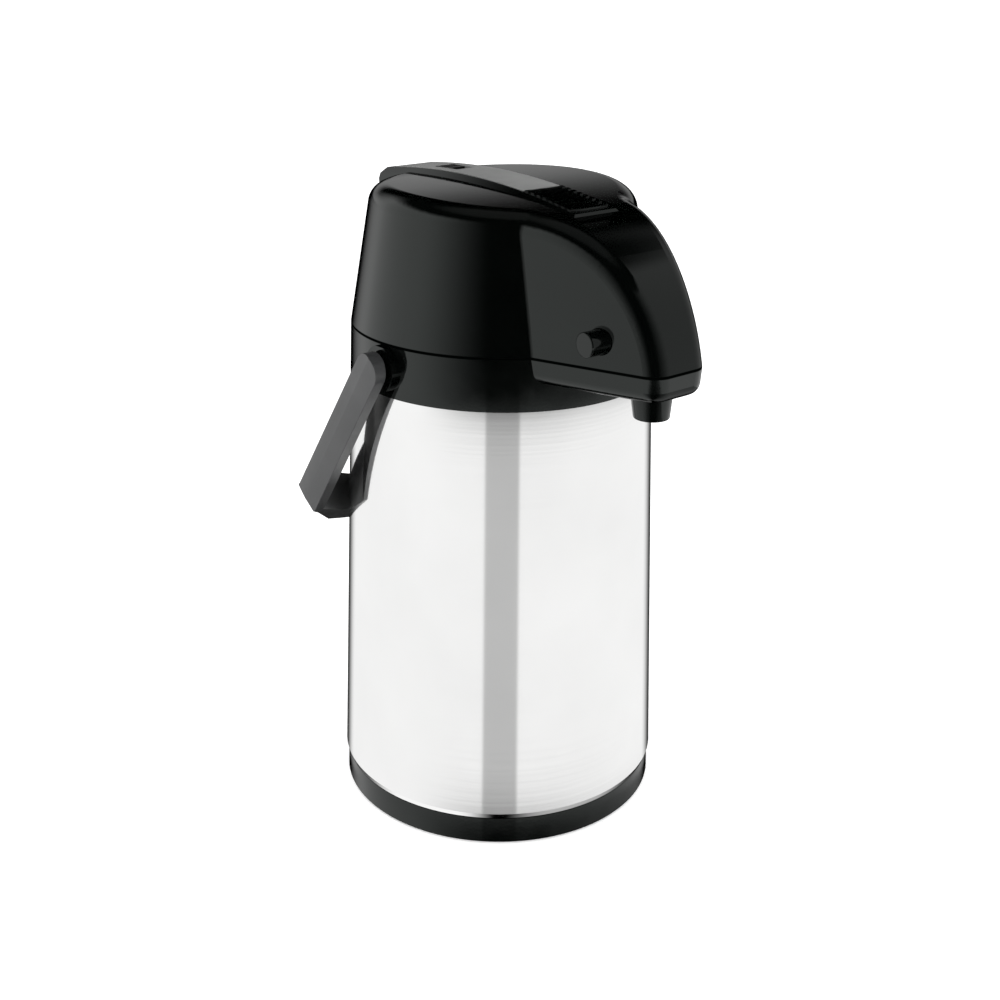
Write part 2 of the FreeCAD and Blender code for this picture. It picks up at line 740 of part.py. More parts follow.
def make_spout_nozzle():
    low = D.seam_height - D.beak_depth
    socket = D.tube_radius - 0.1
    mouth = 5.4
    corners = [
        (mouth, D.spout_tip), (D.spout_tip_radius, D.spout_tip), (D.spout_top_radius, low - 0.1),
        (7, low - 0.1), (7, low + 1), (socket, low + 1), (socket, low - 6.3), (mouth, low - 7.3),
    ]
    nozzle = turned("spout_nozzle_body", corners)
    move_to(nozzle, 0, -D.spout_reach, 0)
    finish(nozzle, "spout_nozzle")


make_foot_ring()
make_base_cup()
make_bottom_cap()
make_flask_rest()
make_casing()
make_flask()
make_neck_gasket()
make_collar()
make_hinge_pin()
make_pivot_pins()
make_tube_holder()
make_dip_tube()
make_delivery_tube()
make_spout_nozzle()


# ---------------------------------------------------------------- lid

def arc_through_tangent(start, heading, end):
    """Centre of the arc from start to end that leaves start along heading, and its end heading."""
    chord = math.atan2(end[1] - start[1], end[0] - start[0])
    turn = 2 * (chord - heading)
    length = math.hypot(end[0] - start[0], end[1] - start[1])
    radius = length / (2 * math.sin(turn / 2))
    centre = (start[0] - radius * math.sin(heading), start[1] + radius * math.cos(heading))
    return centre, heading + turn


def arc_through_points(start, middle, end):
    """Centre of the circle through three points."""
    (x1, y1), (x2, y2), (x3, y3) = start, middle, end
    d = 2 * (x1 * (y2 - y3) + x2 * (y3 - y1) + x3 * (y1 - y2))
    s1, s2, s3 = x1 * x1 + y1 * y1, x2 * x2 + y2 * y2, x3 * x3 + y3 * y3
    return ((s1 * (y2 - y3) + s2 * (y3 - y1) + s3 * (y1 - y2)) / d,
            (s1 * (x3 - x2) + s2 * (x1 - x3) + s3 * (x2 - x1)) / d)


def crown_points():
    """Crown and hood in side view: rear, front of the crown, knee and nose tip, with centres."""
    rear = (D.casing_radius, D.crown_rear)
    top = (as_size(10), D.crown_top)
    front = (-D.crown_front_reach, D.crown_front)
    knee = (-D.hood_knee_reach, D.hood_knee_height)
    tip = (-D.nose_reach, D.seam_height)
    plain = [(x.value, y.value) for x, y in (rear, top, front, knee, tip)]
    crown = arc_through_points(*plain[:3])
    heading = math.atan2(plain[2][1] - crown[1], plain[2][0] - crown[0]) + math.pi / 2
    hood, heading = arc_through_tangent(plain[2], heading, plain[3])
    nose, heading = arc_through_tangent(plain[3], heading, plain[4])
    return rear, front, knee, tip, crown, hood, nose


def head_form(name, inset, back, down, low):
    """Round tapered head with its nose; inset, back and down make the smaller inside form."""
    rear, front, knee, tip, crown, hood, nose = crown_points()
    slope = tangent(D.lid_draft)
    top = D.crown_top + 12
    body = new_body(name)
    profile = sketch_on(body, "XZ_Plane", f"{name}_profile")
    low_radius = D.casing_radius - inset - slope * (low - D.seam_height)
    outline(profile, [(0, low), (low_radius, low),
                      (D.casing_radius - inset - slope * (top - D.seam_height), top), (0, top)])
    turn = body.newObject("PartDesign::Revolution", f"{name}_turn")
    turn.Profile = profile
    turn.ReferenceAxis = (profile, ["V_Axis"])
    turn.Angle = 360
    plan = sketch_on(body, "XY_Plane", f"{name}_plan", low)
    outline(plan, nose_corners(inset, as_size(30), beyond=12))
    nose_pad = pad(body, plan, top - low)
    bind(nose_pad, TaperAngle=-D.nose_draft)
    doc.recompute()
    above = sketch_on(body, "YZ_Plane", f"{name}_above")

    def moved(point):
        return (as_size(point[0]) + back, as_size(point[1]) - down)

    def arc(centre):
        return Arc(*moved(centre))

    far = -D.nose_reach - 40
    outline(above, [
        (*moved(rear), arc(crown)), (*moved(front), arc(hood)), (*moved(knee), arc(nose)),
        moved(tip), (moved(tip)[0], low - 5), (far, low - 5), (far, top + 5),
        (moved(rear)[0], top + 5),
    ])
    pocket(body, above, 400, midplane=True)
    return body


def make_lid_shell():
    """One moulding: hollow cover, lever slot with its walls, screw posts, pin lug, knuckle."""
    low = D.seam_height + D.seam_gap
    outside = head_form("lid_outside", as_size(0), as_size(0), as_size(0), low)
    root = -D.casing_radius.value
    round_edges(outside, "nose_root_rounding", 4, lambda e: is_upright(e)
                and root < e.CenterOfMass.y < root * 0.6)
    level = low.value + 0.01
    far = -D.nose_reach.value * 0.75
    round_edges(outside, "upper_rounding", D.nose_round, lambda e: e.BoundBox.ZMin < level
                and e.CenterOfMass.y < far and e.BoundBox.ZMax > level + 5)
    hollow = head_form("lid_hollow", D.plastic_wall, as_size(6), D.crown_thickness, low - 1)
    shell = cut("lid_cover", outside, [hollow])

    slot_half = D.lever_half + D.lever_gap
    front = -(D.lever_reach + 1)
    rear = D.casing_radius - 9
    high = D.crown_top + 8
    deep = D.plunger_height - 20
    shallow = D.plunger_top - 8
    step = -(D.plunger_radius + 4)
    scoop = side_prism("finger_scoop", [
        (front + 1, D.scoop_height), (-D.scoop_reach, D.scoop_height + 0.6),
        (-D.scoop_reach, high), (front + 1, high),
    ], slot_half)
    walls = side_prism("slot_walls", [
        (rear, shallow), (rear, high), (front - 2, high), (front - 2, deep), (step - 8, deep),
        (step, shallow),
    ], slot_half + 2)
    walls = both("slot_walls_inside", walls, outside)
    posts = [rod(f"screw_post_{i}", 4, x, y, low + 3, D.crown_front - 4 - low)
             for i, (x, y) in enumerate(screw_places())]
    shell = fuse("lid_joined", [shell, walls] + posts)
    slot = box("lever_slot", -slot_half, slot_half, front, D.casing_radius + 20,
               D.lever_pivot_height - 9, high)
    deep_slot = box("lever_slot_front", -slot_half, slot_half, front, step, deep - 5, high)
    opening = box("plunger_way", -slot_half, slot_half, step - 8, rear, shallow - 10, high)

    pin_y, pin_z = D.lever_pivot_back, D.lever_pivot_height
    wall_y = D.casing_radius - 8
    lug = side_prism("pin_lug", [
        (wall_y - 6, pin_z - 13), (wall_y + 1, pin_z - 13), (pin_y + 4, pin_z - 4),
        (pin_y + 4, pin_z), (pin_y, pin_z + 4), (wall_y - 6, pin_z - 2),
    ], D.lever_half / 2)
    eye = rod("pin_eye", 5, -D.lever_half / 2, pin_y, pin_z, D.lever_half, along="x")
    hinge_y, hinge_z = D.hinge_back, D.seam_height + 0.9
    knuckle = rod("lid_knuckle", D.hinge_radius, -D.hinge_half, hinge_y, hinge_z,
                  2 * D.hinge_half, along="x")
    web = box("lid_knuckle_web", -(D.hinge_half - 1), D.hinge_half - 1,
              D.casing_radius - D.plastic_wall + 0.2, hinge_y, low + 0.1, low + 5)
    shell = cut("lid_slotted", shell, [slot, deep_slot, opening, scoop])
    shell = fuse("lid_solid", [shell, lug, eye, knuckle, web])

    pin_bore = rod("lever_pin_bore", D.lever_pin_radius + 0.05, -20, pin_y, pin_z, 40, along="x")
    hinge_bore = rod("lid_hinge_bore", D.hinge_pin_radius + 0.05, -20, hinge_y, hinge_z, 40,
                     along="x")
    button_bore = rod("button_bore", D.button_radius + 0.4, -60, -D.button_reach,
                      D.button_height, 60, along="x")
    screw_bores = [rod(f"post_bore_{i}", 1.5, x, y, low, 18)
                   for i, (x, y) in enumerate(screw_places())]
    tools = [pin_bore, hinge_bore, button_bore] + screw_bores
    finish(cut("lid_shell_cut", shell, tools), "lid_shell")


def screw_places():
    """Four screws on a square inside the lid's round wall."""
    reach = (D.casing_radius - 20) / 1.4142136
    return [(reach, reach), (-reach, reach), (-reach, -reach), (reach, -reach)]


def make_lid_plate():
    """Inner plate that closes the lid, with the mouth plug and the buttons' bracket."""
    low = D.seam_height + D.seam_gap + 0.3
    top = low + 2.5
    inset = D.plastic_wall + 0.5
    disc = rod("plate_disc", D.casing_radius - inset - 0.4, z=low, length=2.5)
    front = new_body("plate_nose")
    plan = sketch_on(front, "XY_Plane", "plate_nose_plan", low)
    outline(plan, nose_corners(inset + 4.5, as_size(40), beyond=-3))
    pad(front, plan, 2.5)
    plug_low = D.deck_height + 6.6
    plug = rod("mouth_plug", D.plug_radius, y=D.plug_back, z=plug_low, length=low - plug_low + 1)
    stub = rod("plug_stub", D.plug_radius - 7.2, y=D.plug_back, z=plug_low - 1.6, length=3)
    seat = rod("bellows_seat", D.plunger_radius - 6, z=top - 0.5, length=4)
    bracket = box("button_bracket", -5.6, 5.6, -D.button_reach - 7, -D.button_reach + 7, top - 1,
                  D.button_height + 9)
    plate = fuse("plate_solid", [disc, front, plug, stub, seat, bracket])
    air = rod("air_port", 3, y=D.plug_back, z=plug_low - 5, length=30)
    core = rod("plug_core", D.plug_radius - 2.5, y=D.plug_back, z=plug_low + 2.4,
               length=low - plug_low - 2.4)
    bores = [rod(f"plate_bore_{i}", 1.8, x, y, low - 5, 12)
             for i, (x, y) in enumerate(screw_places())]
    finish(cut("plate_cut", plate, [air, core] + bores), "lid_plate")


def make_mouth_gasket():
    low = D.deck_height + 4.4
    outer = D.plug_radius + 1.5
    inner = D.plug_radius - 7
    gasket = turned("mouth_gasket_body", [
        (inner, low), (outer - 1, low), (outer, low + 2.1), (inner, low + 2.1),
    ])
    move_to(gasket, 0, D.plug_back, 0)
    finish(gasket, "mouth_gasket")


def make_lid_screws():
    low = D.seam_height + D.seam_gap + 0.3
    screws = []
    for i, (x, y) in enumerate(screw_places()):
        screw = turned(f"lid_screw_{i}", [
            (0, low - 2.2), (2.6, low - 2.2), (3.2, low - 0.1), (1.45, low - 0.1),
            (1.45, low + 13), (0, low + 14.5),
        ])
        move_to(screw, x, y, 0)
        screws.append(screw)
    group = doc.addObject("Part::Compound", "lid_screws_group")
    group.Links = screws
    finish(group, "lid_screws")


def make_bellows():
    """Rubber bellows: an even zigzag wall between the plate and the plunger."""
    low = D.seam_height + D.seam_gap + 6.5
    top = D.plunger_height - 0.2
    folds = int(D.bellows_folds.value)
    step = (top - low) / (2 * folds)
    outer, inner, wall = D.plunger_radius, D.plunger_radius - 5, 1.2
    outside = [(outer if i % 2 else inner, low + i * step) for i in range(2 * folds + 1)]
    inside = [(r - wall * 1.6, z) for r, z in reversed(outside)]
    finish(turned("bellows_body", outside + inside), "bellows")


def make_pump_spring():
    """Compression spring inside the bellows."""
    wire = 0.9
    low = D.seam_height + D.seam_gap + 7.6
    top = D.plunger_height - 1.2
    path = doc.addObject("Part::Helix", "spring_path")
    bind(path, Radius=13, Pitch=(top - low) / 6, Height=top - low)
    move_to(path, 0, 0, low)
    path.SegmentLength = 1
    section = doc.addObject("Part::Circle", "spring_section")
    section.Placement = FreeCAD.Placement(V(), FreeCAD.Rotation(V(1, 0, 0), 90))
    bind(section, Radius=wire)
    move_to(section, 13, 0, low)
    sweep = doc.addObject("Part::Sweep", "spring_sweep")
    sweep.Sections = [section]
    sweep.Spine = path
    sweep.Solid = True
    sweep.Frenet = True
    finish(sweep, "pump_spring")


def make_plunger():
    low, top = D.plunger_height, D.plunger_top
    finish(turned("plunger_body", [
        (0, low), (D.plunger_radius, low), (D.plunger_radius, low + 2.5), (9, low + 2.5),
        (8, low + 5), (8, top), (0, top),
    ]), "plunger")


# ---------------------------------------------------------------- lever

def lever_arc(lift):
    """Lever's top line in side view: rear end, front end and arc centre, raised by lift."""
    rear = (D.lever_pivot_back + 7, D.lever_rear_height + lift)
    front = (-(D.lever_reach - 1), D.lever_front_height + lift)
    top = (as_size(5), D.lever_crest + lift)
    plain = [(x.value, y.value) for x, y in (rear, top, front)]
    return rear, front, Arc(*arc_through_points(*plain))


def make_lever():
    """Hollow channel-shaped lever with a tail that wraps over the hinge lug."""
    rear, front, top_arc = lever_arc(-D.inlay_proud)
    pin_y, pin_z = D.lever_pivot_back, D.lever_pivot_height
    tip = -D.lever_reach
    skirt = D.plunger_top - 1
    block = side_prism("lever_block", [
        (*rear, top_arc), front, (tip, front[1] - 1.4), (tip + 1.2, front[1] - 5.4),
        (tip + 1.2, skirt - 7), (tip + 24, skirt - 5),
        (-20, skirt), (50, skirt), (62, pin_z - 5.5), (pin_y + 4, pin_z - 6.5),
        (pin_y + 10, pin_z - 4.5), (pin_y + 11, pin_z + 1), (rear[0] + 2.5, rear[1] - 3),
    ], D.lever_half)
    crest = (D.lever_crest - 12).value
    long_edge = D.lever_reach.value * 1.5
    bevel_edges(block, "lever_bevel_cut", D.lever_bevel,
                lambda e: e.Length > long_edge and e.CenterOfMass.z > crest)

    inside = D.lever_half - 3
    ceiling = front[1] - 4.6
    channel = side_prism("lever_channel", [
        (tip + 4, skirt - 20), (tip + 4, ceiling - 1.5), (-20, ceiling + 3.5), (56, ceiling + 3.5),
        (62, pin_z + 6), (62, skirt - 20),
    ], inside)
    fork = box("lever_fork", -(D.lever_half / 2 + 0.5), D.lever_half / 2 + 0.5, 55, pin_y + 6.5,
               pin_z - 20, pin_z + 5.7)
    bore = rod("lever_bore", D.lever_pin_radius + 0.02, -30, pin_y, pin_z, 60, along="x")
    rear_in, front_in, in_arc = lever_arc(-D.inlay_depth)
    pocket_block = side_prism("inlay_pocket", [
        (*rear_in, in_arc), front_in, (front_in[0], front_in[1] + 15), (rear_in[0], rear_in[1] + 15),
    ], D.inlay_half + 0.1)
    ends = box("inlay_pocket_ends", -D.lever_half, D.lever_half, rib_line(D.rib_count) - 0.1,
               D.lever_pivot_back + 1, skirt - 20, skirt + 40)
    lock = box("lever_lock_pocket", *lock_span(0.2), D.lever_crest - 4.4, D.lever_crest + 5)
    pad_rod = rod("push_pad", 3.5, -inside - 0.5, 0, D.plunger_top + 3.8, 2 * inside + 1, along="x")
    hollow = cut("lever_hollow", block, [channel, fork, bore,
                                         both("inlay_pocket_cut", pocket_block, ends), lock])
    finish(fuse("lever_joined", [hollow, pad_rod, grip_ribs()]), "lever")


def rib_line(place):
    """Front edge of the rib at a place counted from the foremost one, on the middle plane."""
    return -(D.lever_reach - D.rib_end - place * D.rib_pitch)


def grip_ribs():
    """Ribs across the lever behind its front edge, each bowed towards the front."""
    ribs = []
    base, top = D.crown_top - 20, D.crown_top + 10
    half = D.rib_pitch * 0.27
    for i in range(int(D.rib_count.value)):
        centre = rib_line(i) + D.rib_curve
        outer = rod(f"rib_outer_{i}", D.rib_curve + half, 0, centre, base, top - base)
        inner = rod(f"rib_inner_{i}", D.rib_curve - half, 0, centre, base, top - base)
        ribs.append(cut(f"rib_{i}", outer, [inner]))
    low, high = lever_arc(-D.inlay_proud - 1), lever_arc(D.rib_rise - D.inlay_proud)
    band = side_prism("rib_band", [
        (*high[0], high[2]), high[1], (low[1][0], low[1][1], Arc(low[2].x, low[2].y, True)), low[0],
    ], D.inlay_half)
    front = box("rib_zone", -D.inlay_half, D.inlay_half, rib_line(0) - 1, rib_line(D.rib_count),
                base, top)
    return both("ribs_cut", both("ribs_banded", fuse("ribs_joined", ribs), band), front)


def lock_span(grow):
    half = D.lock_width / 2 + grow
    length = D.lock_length / 2 + grow
    return -half, half, D.lock_back - length, D.lock_back + length


def make_lever_inlay():
    """Matte top panel behind the grip ribs, with the lock's window at the back."""
    rear, front, top_arc = lever_arc(as_size(0))
    low_rear, low_front, low_arc = lever_arc(-D.inlay_depth + 0.05)
    slab = side_prism("inlay_slab", [
        (*rear, top_arc), front, (low_front[0], low_front[1], Arc(low_arc.x, low_arc.y, True)),
        low_rear,
    ], D.inlay_half)
    ends = box("inlay_ends", -D.lever_half, D.lever_half, rib_line(D.rib_count) + 0.1,
               D.lever_pivot_back + 0.8, D.crown_top - 25, D.crown_top + 20)
    slab = both("inlay_trimmed", slab, ends)
    window = box("lock_window", *lock_span(0), D.crown_top - 25, D.crown_top + 20)
    finish(cut("inlay_cut", slab, [window]), "lever_inlay")


def make_lever_pin():
    half = D.lever_half - 1
    pin = rod("lever_pin_rod", D.lever_pin_radius, -half, D.lever_pivot_back, D.lever_pivot_height,
              2 * half, along="x")
    finish(pin, "lever_pin")


def make_lock_slider():
    """Small ribbed slider at the back of its window; it slides forward to lock."""
    x0, x1, y0, y1 = lock_span(-0.3)
    low = D.lever_crest - 4.3
    block = box("lock_block", x0, x1, y1 - D.lock_length * 0.5, y1, low, D.lever_crest - 0.7)
    notches = [box(f"lock_notch_{i}", x0 + 1.5, x1 - 1.5, y1 - 2.6 - i * 2.4, y1 - 1.4 - i * 2.4,
                   D.lever_crest - 1.4, D.lever_crest + 1) for i in range(3)]
    finish(cut("lock_cut", block, notches), "lock_slider")


# ---------------------------------------------------------------- release button

def make_button():
    """Push button on the nose's left side, and its return spring."""
    y, z = -D.button_reach, D.button_height
    reach = D.button_face
    stem = rod("button_stem", D.button_radius, -reach, y, z, reach - D.button_flange + 1, along="x")
    flange = rod("button_flange_disc", D.button_radius + 1.6, -D.button_flange, y, z, 2, along="x")
    finish(fuse("button_joined", [stem, flange]), "release_button")
    start, end = D.button_flange - 2.1, 5.7
    wire = 0.5
    path = doc.addObject("Part::Helix", "button_spring_path")
    path.Placement = FreeCAD.Placement(V(), FreeCAD.Rotation(V(0, 1, 0), 90))
    path.SegmentLength = 1
    bind(path, Radius=3.5, Pitch=(start - end - 2 * wire) / 4, Height=start - end - 2 * wire)
    move_to(path, -start + wire, y, z)
    section = doc.addObject("Part::Circle", "button_spring_section")
    section.Placement = FreeCAD.Placement(V(), FreeCAD.Rotation(V(1, 0, 0), 90))
    bind(section, Radius=wire)
    move_to(section, -start + wire, y, z - 3.5)
    sweep = doc.addObject("Part::Sweep", "button_spring_sweep")
    sweep.Sections = [section]
    sweep.Spine = path
    sweep.Solid = True
    sweep.Frenet = True
    finish(sweep, "button_spring")


# ---------------------------------------------------------------- carrying handle

def tangent_point(x, y, radius):
    """Where the tangent from (x, y) touches a circle about the origin, on the rear side."""
    reach = math.hypot(x, y)
    angle = math.atan2(y, x) + math.acos(radius / reach)
    return radius * math.cos(angle), radius * math.sin(angle)


def in_arm_frame(body, y, z):
    """Tilt a body so that its Z axis runs up along the arms from the pivot."""
    body.Placement = FreeCAD.Placement(V(), FreeCAD.Rotation(V(1, 0, 0), D.arm_tilt.value))
    move_to(body, 0, y, z)
    return body


def arm_roof(y, z):
    """Section across both arms: each outer face rises to a ridge along its middle."""
    body = new_body("arm_roof")
    side, half = D.handle_outer - D.arm_crown, D.handle_width / 2 + 0.2
    far = 3 * D.handle_outer
    sketch = sketch_on(body, "XY_Plane", "arm_roof_section")
    outline(sketch, [
        (D.handle_outer, 0), (side, half), (side, far), (-side, far), (-side, half),
        (-D.handle_outer, 0), (-side, -half), (-side, -far), (side, -far), (side, -half),
    ])
    pad(body, sketch, 2 * far, midplane=True)
    return in_arm_frame(body, y, z)


def arm_ends(y, z):
    """Outline across both arms, seen along the grip: the arms' ends are cut back inwards."""
    body = new_body("arm_ends")
    outer, length = D.handle_outer + 1, D.handle_length
    inner = D.handle_outer - D.handle_arm - 1.5
    near = inner - 2 * D.handle_width
    sketch = sketch_on(body, "XZ_Plane", "arm_ends_outline")
    outline(sketch, [
        (-outer, 2 * D.handle_width), (-outer, -length + 1.1), (-inner, -length - 9),
        (-near, -length - 9 - 2.4 * D.handle_width), (0, -2.2 * length),
        (near, -length - 9 - 2.4 * D.handle_width), (inner, -length - 9),
        (outer, -length + 1.1), (outer, 2 * D.handle_width),
    ])
    pad(body, sketch, 6 * outer, midplane=True)
    return in_arm_frame(body, y, z)


def make_handle():
    """Plan outline and side outline, each drawn flat, meet in the bail's real shape."""
    tilt, grip = D.arm_tilt, D.grip_tilt
    py, pz = -D.handle_pivot_front, D.handle_pivot_height
    half = D.handle_width / 2
    end_y = py + D.handle_length * sine(tilt)
    end_z = pz - D.handle_length * cosine(tilt)
    outer, inner = D.handle_outer, D.handle_outer - D.handle_arm
    grip_in = D.casing_radius + D.grip_gap
    grip_out = grip_in + D.grip_depth
    rear_y = end_y + half * cosine(tilt)
    outer_touch = tangent_point(outer.value, rear_y.value, grip_out.value)
    inner_touch = tangent_point(inner.value, end_y.value - 6, grip_in.value)
    plan = new_body("handle_plan_band")
    sketch = sketch_on(plan, "XY_Plane", "handle_plan", 60)
    outline(sketch, [
        (outer, py - 20), (outer, rear_y), (*outer_touch, Arc(0, 0)),
        (-outer_touch[0], outer_touch[1]), (-outer, rear_y), (-outer, py - 20),
        (-inner, py - 20), (-inner, end_y - 6),
        (-inner_touch[0], inner_touch[1], Arc(0, 0, clockwise=True)), inner_touch,
        (inner, end_y - 6), (inner, py - 20),
    ])
    pad(plan, sketch, 220)
    far = grip_out + 5
    low_y, low_z = end_y - half * cosine(tilt), end_z - half * sine(tilt)
    high_y, high_z = end_y + half * cosine(tilt), end_z + half * sine(tilt)
    fall = cosine(grip) / sine(grip)
    side = side_prism("handle_side_band", [
        (py - half * cosine(tilt), pz - half * sine(tilt)), (low_y, low_z),
        (far, low_z - (far - low_y) * fall), (far, high_z - (far - high_y) * fall),
        (high_y, high_z), (py + half * cosine(tilt), pz + half * sine(tilt)),
    ], 120)
    arms = [rod(f"arm_end_{side_name}", half, x, py, pz, D.handle_arm, along="x")
            for side_name, x in (("left", -outer), ("right", inner))]
    bail = fuse("bail_solid", [both("bail_band", plan, side)] + arms)
    bail = both("bail_crowned", bail, arm_roof(py, pz))
    bail = both("bail_trimmed", bail, arm_ends(py, pz))
    bore_end = outer - 2.6
    bore = rod("bail_bore", D.pivot_radius + 0.05, -bore_end, py, pz, 2 * bore_end, along="x")
    finish(cut("bail_cut", bail, [bore]), "handle")


make_lid_shell()
make_lid_plate()
make_mouth_gasket()
make_lid_screws()
make_bellows()
make_pump_spring()
make_plunger()
make_lever()
make_lever_inlay()
make_lever_pin()
make_lock_slider()
make_button()
make_handle()

# ---------------------------------------------------------------- checks and files

doc.recompute()
failed = [o.Label for o in doc.Objects if "Invalid" in o.State or "Error" in o.State]
for thing in subparts:
    if thing.Shape.isNull() or not thing.Shape.isValid() or not thing.Shape.Solids:
        failed.append(thing.Label)
if failed:
    raise RuntimeError("failed objects: " + ", ".join(failed))

os.makedirs("parts", exist_ok=True)
for thing in subparts:
    thing.Shape.exportStep(f"parts/{thing.Label}.step")
print(len(subparts), "sub-parts written")
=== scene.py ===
import json
import math

import bmesh
import bpy
from mathutils import Matrix, Vector

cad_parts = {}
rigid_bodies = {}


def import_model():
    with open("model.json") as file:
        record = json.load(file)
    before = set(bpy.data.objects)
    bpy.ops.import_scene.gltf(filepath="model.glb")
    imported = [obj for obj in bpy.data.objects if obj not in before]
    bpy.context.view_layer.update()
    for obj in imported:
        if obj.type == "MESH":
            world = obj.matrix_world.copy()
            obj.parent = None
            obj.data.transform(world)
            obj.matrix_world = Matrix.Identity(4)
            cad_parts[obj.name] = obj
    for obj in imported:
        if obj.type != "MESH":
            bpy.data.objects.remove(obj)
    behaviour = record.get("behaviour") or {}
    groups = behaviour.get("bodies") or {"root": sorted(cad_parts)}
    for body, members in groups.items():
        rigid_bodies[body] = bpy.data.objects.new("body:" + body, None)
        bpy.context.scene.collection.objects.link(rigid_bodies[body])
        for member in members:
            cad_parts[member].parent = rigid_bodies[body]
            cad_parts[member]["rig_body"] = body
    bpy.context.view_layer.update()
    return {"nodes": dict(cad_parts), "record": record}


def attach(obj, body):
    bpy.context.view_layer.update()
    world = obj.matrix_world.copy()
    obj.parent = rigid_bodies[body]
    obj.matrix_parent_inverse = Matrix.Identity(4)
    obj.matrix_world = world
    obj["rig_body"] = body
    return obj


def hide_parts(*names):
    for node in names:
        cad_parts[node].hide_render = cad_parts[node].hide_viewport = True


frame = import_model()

# Thermal airpot.  Metres, +Z up, spout towards -Y, table at Z = 0.

scene = bpy.context.scene
nodes = frame["nodes"]

# ---------------------------------------------------------------- material helpers

CLOUD_SCALE = 40
GLOSS_SCALE = 92
# most of a noise's values lie between these
NOISE_LOW, NOISE_HIGH = 0.3, 0.7


def main_shader(tree):
    return next(node for node in tree.nodes if node.type == "BSDF_PRINCIPLED")


def new_material(name):
    material = bpy.data.materials.new(name)
    material.use_nodes = True
    tree = material.node_tree
    return material, tree, main_shader(tree)


def add(tree, kind, **settings):
    """A new node; keywords set its properties."""
    node = tree.nodes.new(kind)
    for key, value in settings.items():
        setattr(node, key, value)
    return node


def value_math(tree, operation, first, second=None):
    node = add(tree, "ShaderNodeMath", operation=operation)
    for socket, value in zip(node.inputs, (first, second)):
        if value is None:
            continue
        if isinstance(value, (int, float)):
            socket.default_value = value
        else:
            tree.links.new(value, socket)
    return node.outputs["Value"]


def product(tree, first, *others):
    """The factors multiplied together."""
    for factor in others:
        first = value_math(tree, "MULTIPLY", first, factor)
    return first


def step_up(tree, value, start, end):
    """0 below start, 1 above end, smooth between; falls instead when start > end."""
    node = add(tree, "ShaderNodeMapRange", interpolation_type="SMOOTHSTEP")
    low, high = min(start, end), max(start, end)
    node.inputs["From Min"].default_value = low
    node.inputs["From Max"].default_value = high
    node.inputs["To Min"].default_value = 0 if start < end else 1
    node.inputs["To Max"].default_value = 1 if start < end else 0
    tree.links.new(value, node.inputs["Value"])
    return node.outputs["Result"]


def place(tree, scale=(1, 1, 1)):
    """Object coordinates, scaled."""
    coordinates = add(tree, "ShaderNodeTexCoord")
    mapping = add(tree, "ShaderNodeMapping")
    mapping.inputs["Scale"].default_value = scale
    tree.links.new(coordinates.outputs["Object"], mapping.inputs["Vector"])
    return mapping.outputs["Vector"]


def noise(tree, vector, scale, detail, rough=0.5):
    node = add(tree, "ShaderNodeTexNoise")
    node.inputs["Scale"].default_value = scale
    node.inputs["Detail"].default_value = detail
    node.inputs["Roughness"].default_value = rough
    tree.links.new(vector, node.inputs["Vector"])
    return node.outputs["Fac"]


def remap(tree, value, low, high):
    """A noise's values, spread from low to high."""
    node = add(tree, "ShaderNodeMapRange")
    node.inputs["From Min"].default_value = NOISE_LOW
    node.inputs["From Max"].default_value = NOISE_HIGH
    node.inputs["To Min"].default_value = low
    node.inputs["To Max"].default_value = high
    tree.links.new(value, node.inputs["Value"])
    return node.outputs["Result"]


def two_tone(tree, factor, first, second):
    """A colour between two, by a factor."""
    node = add(tree, "ShaderNodeValToRGB")
    node.color_ramp.elements[0].position = NOISE_LOW
    node.color_ramp.elements[1].position = NOISE_HIGH
    node.color_ramp.elements[0].color = (*first, 1)
    node.color_ramp.elements[1].color = (*second, 1)
    tree.links.new(factor, node.inputs["Fac"])
    return node.outputs["Color"]


def bump(tree, shader, value, strength, distance):
    node = add(tree, "ShaderNodeBump")
    node.inputs["Strength"].default_value = strength
    node.inputs["Distance"].default_value = distance
    tree.links.new(value, node.inputs["Height"])
    tree.links.new(node.outputs["Normal"], shader.inputs["Normal"])


def plastic(name, dark, light, rough, grain_scale, grain, specular=0.5, tint=(1, 1, 1)):
    """Moulded plastic: cloudy tone, uneven gloss and a fine moulded grain."""
    material, tree, shader = new_material(name)
    where = place(tree)
    cloud = noise(tree, where, CLOUD_SCALE, detail=3)
    fine = noise(tree, where, grain_scale, detail=2)
    tree.links.new(two_tone(tree, cloud, dark, light), shader.inputs["Base Color"])
    tree.links.new(remap(tree, noise(tree, where, GLOSS_SCALE, detail=4), *rough),
                   shader.inputs["Roughness"])
    bump(tree, shader, fine, strength=grain, distance=0.0002)
    shader.inputs["Specular IOR Level"].default_value = specular
    shader.inputs["Specular Tint"].default_value = (*tint, 1)
    return material


# share of the joint line that is fully dull
DULL_SHARE = 0.6


def joint_line(material, height, half):
    """Dull the gloss in a thin line round the pot, where two covers meet."""
    tree = material.node_tree
    shader = main_shader(tree)
    split = add(tree, "ShaderNodeSeparateXYZ")
    tree.links.new(place(tree), split.inputs["Vector"])
    apart = value_math(tree, "ABSOLUTE", value_math(tree, "SUBTRACT", split.outputs["Z"], height))
    full = shader.inputs["Specular IOR Level"].default_value
    gloss = product(tree, step_up(tree, apart, half * DULL_SHARE, half), full)
    tree.links.new(gloss, shader.inputs["Specular IOR Level"])


CLOUD_SHADE = 0.95


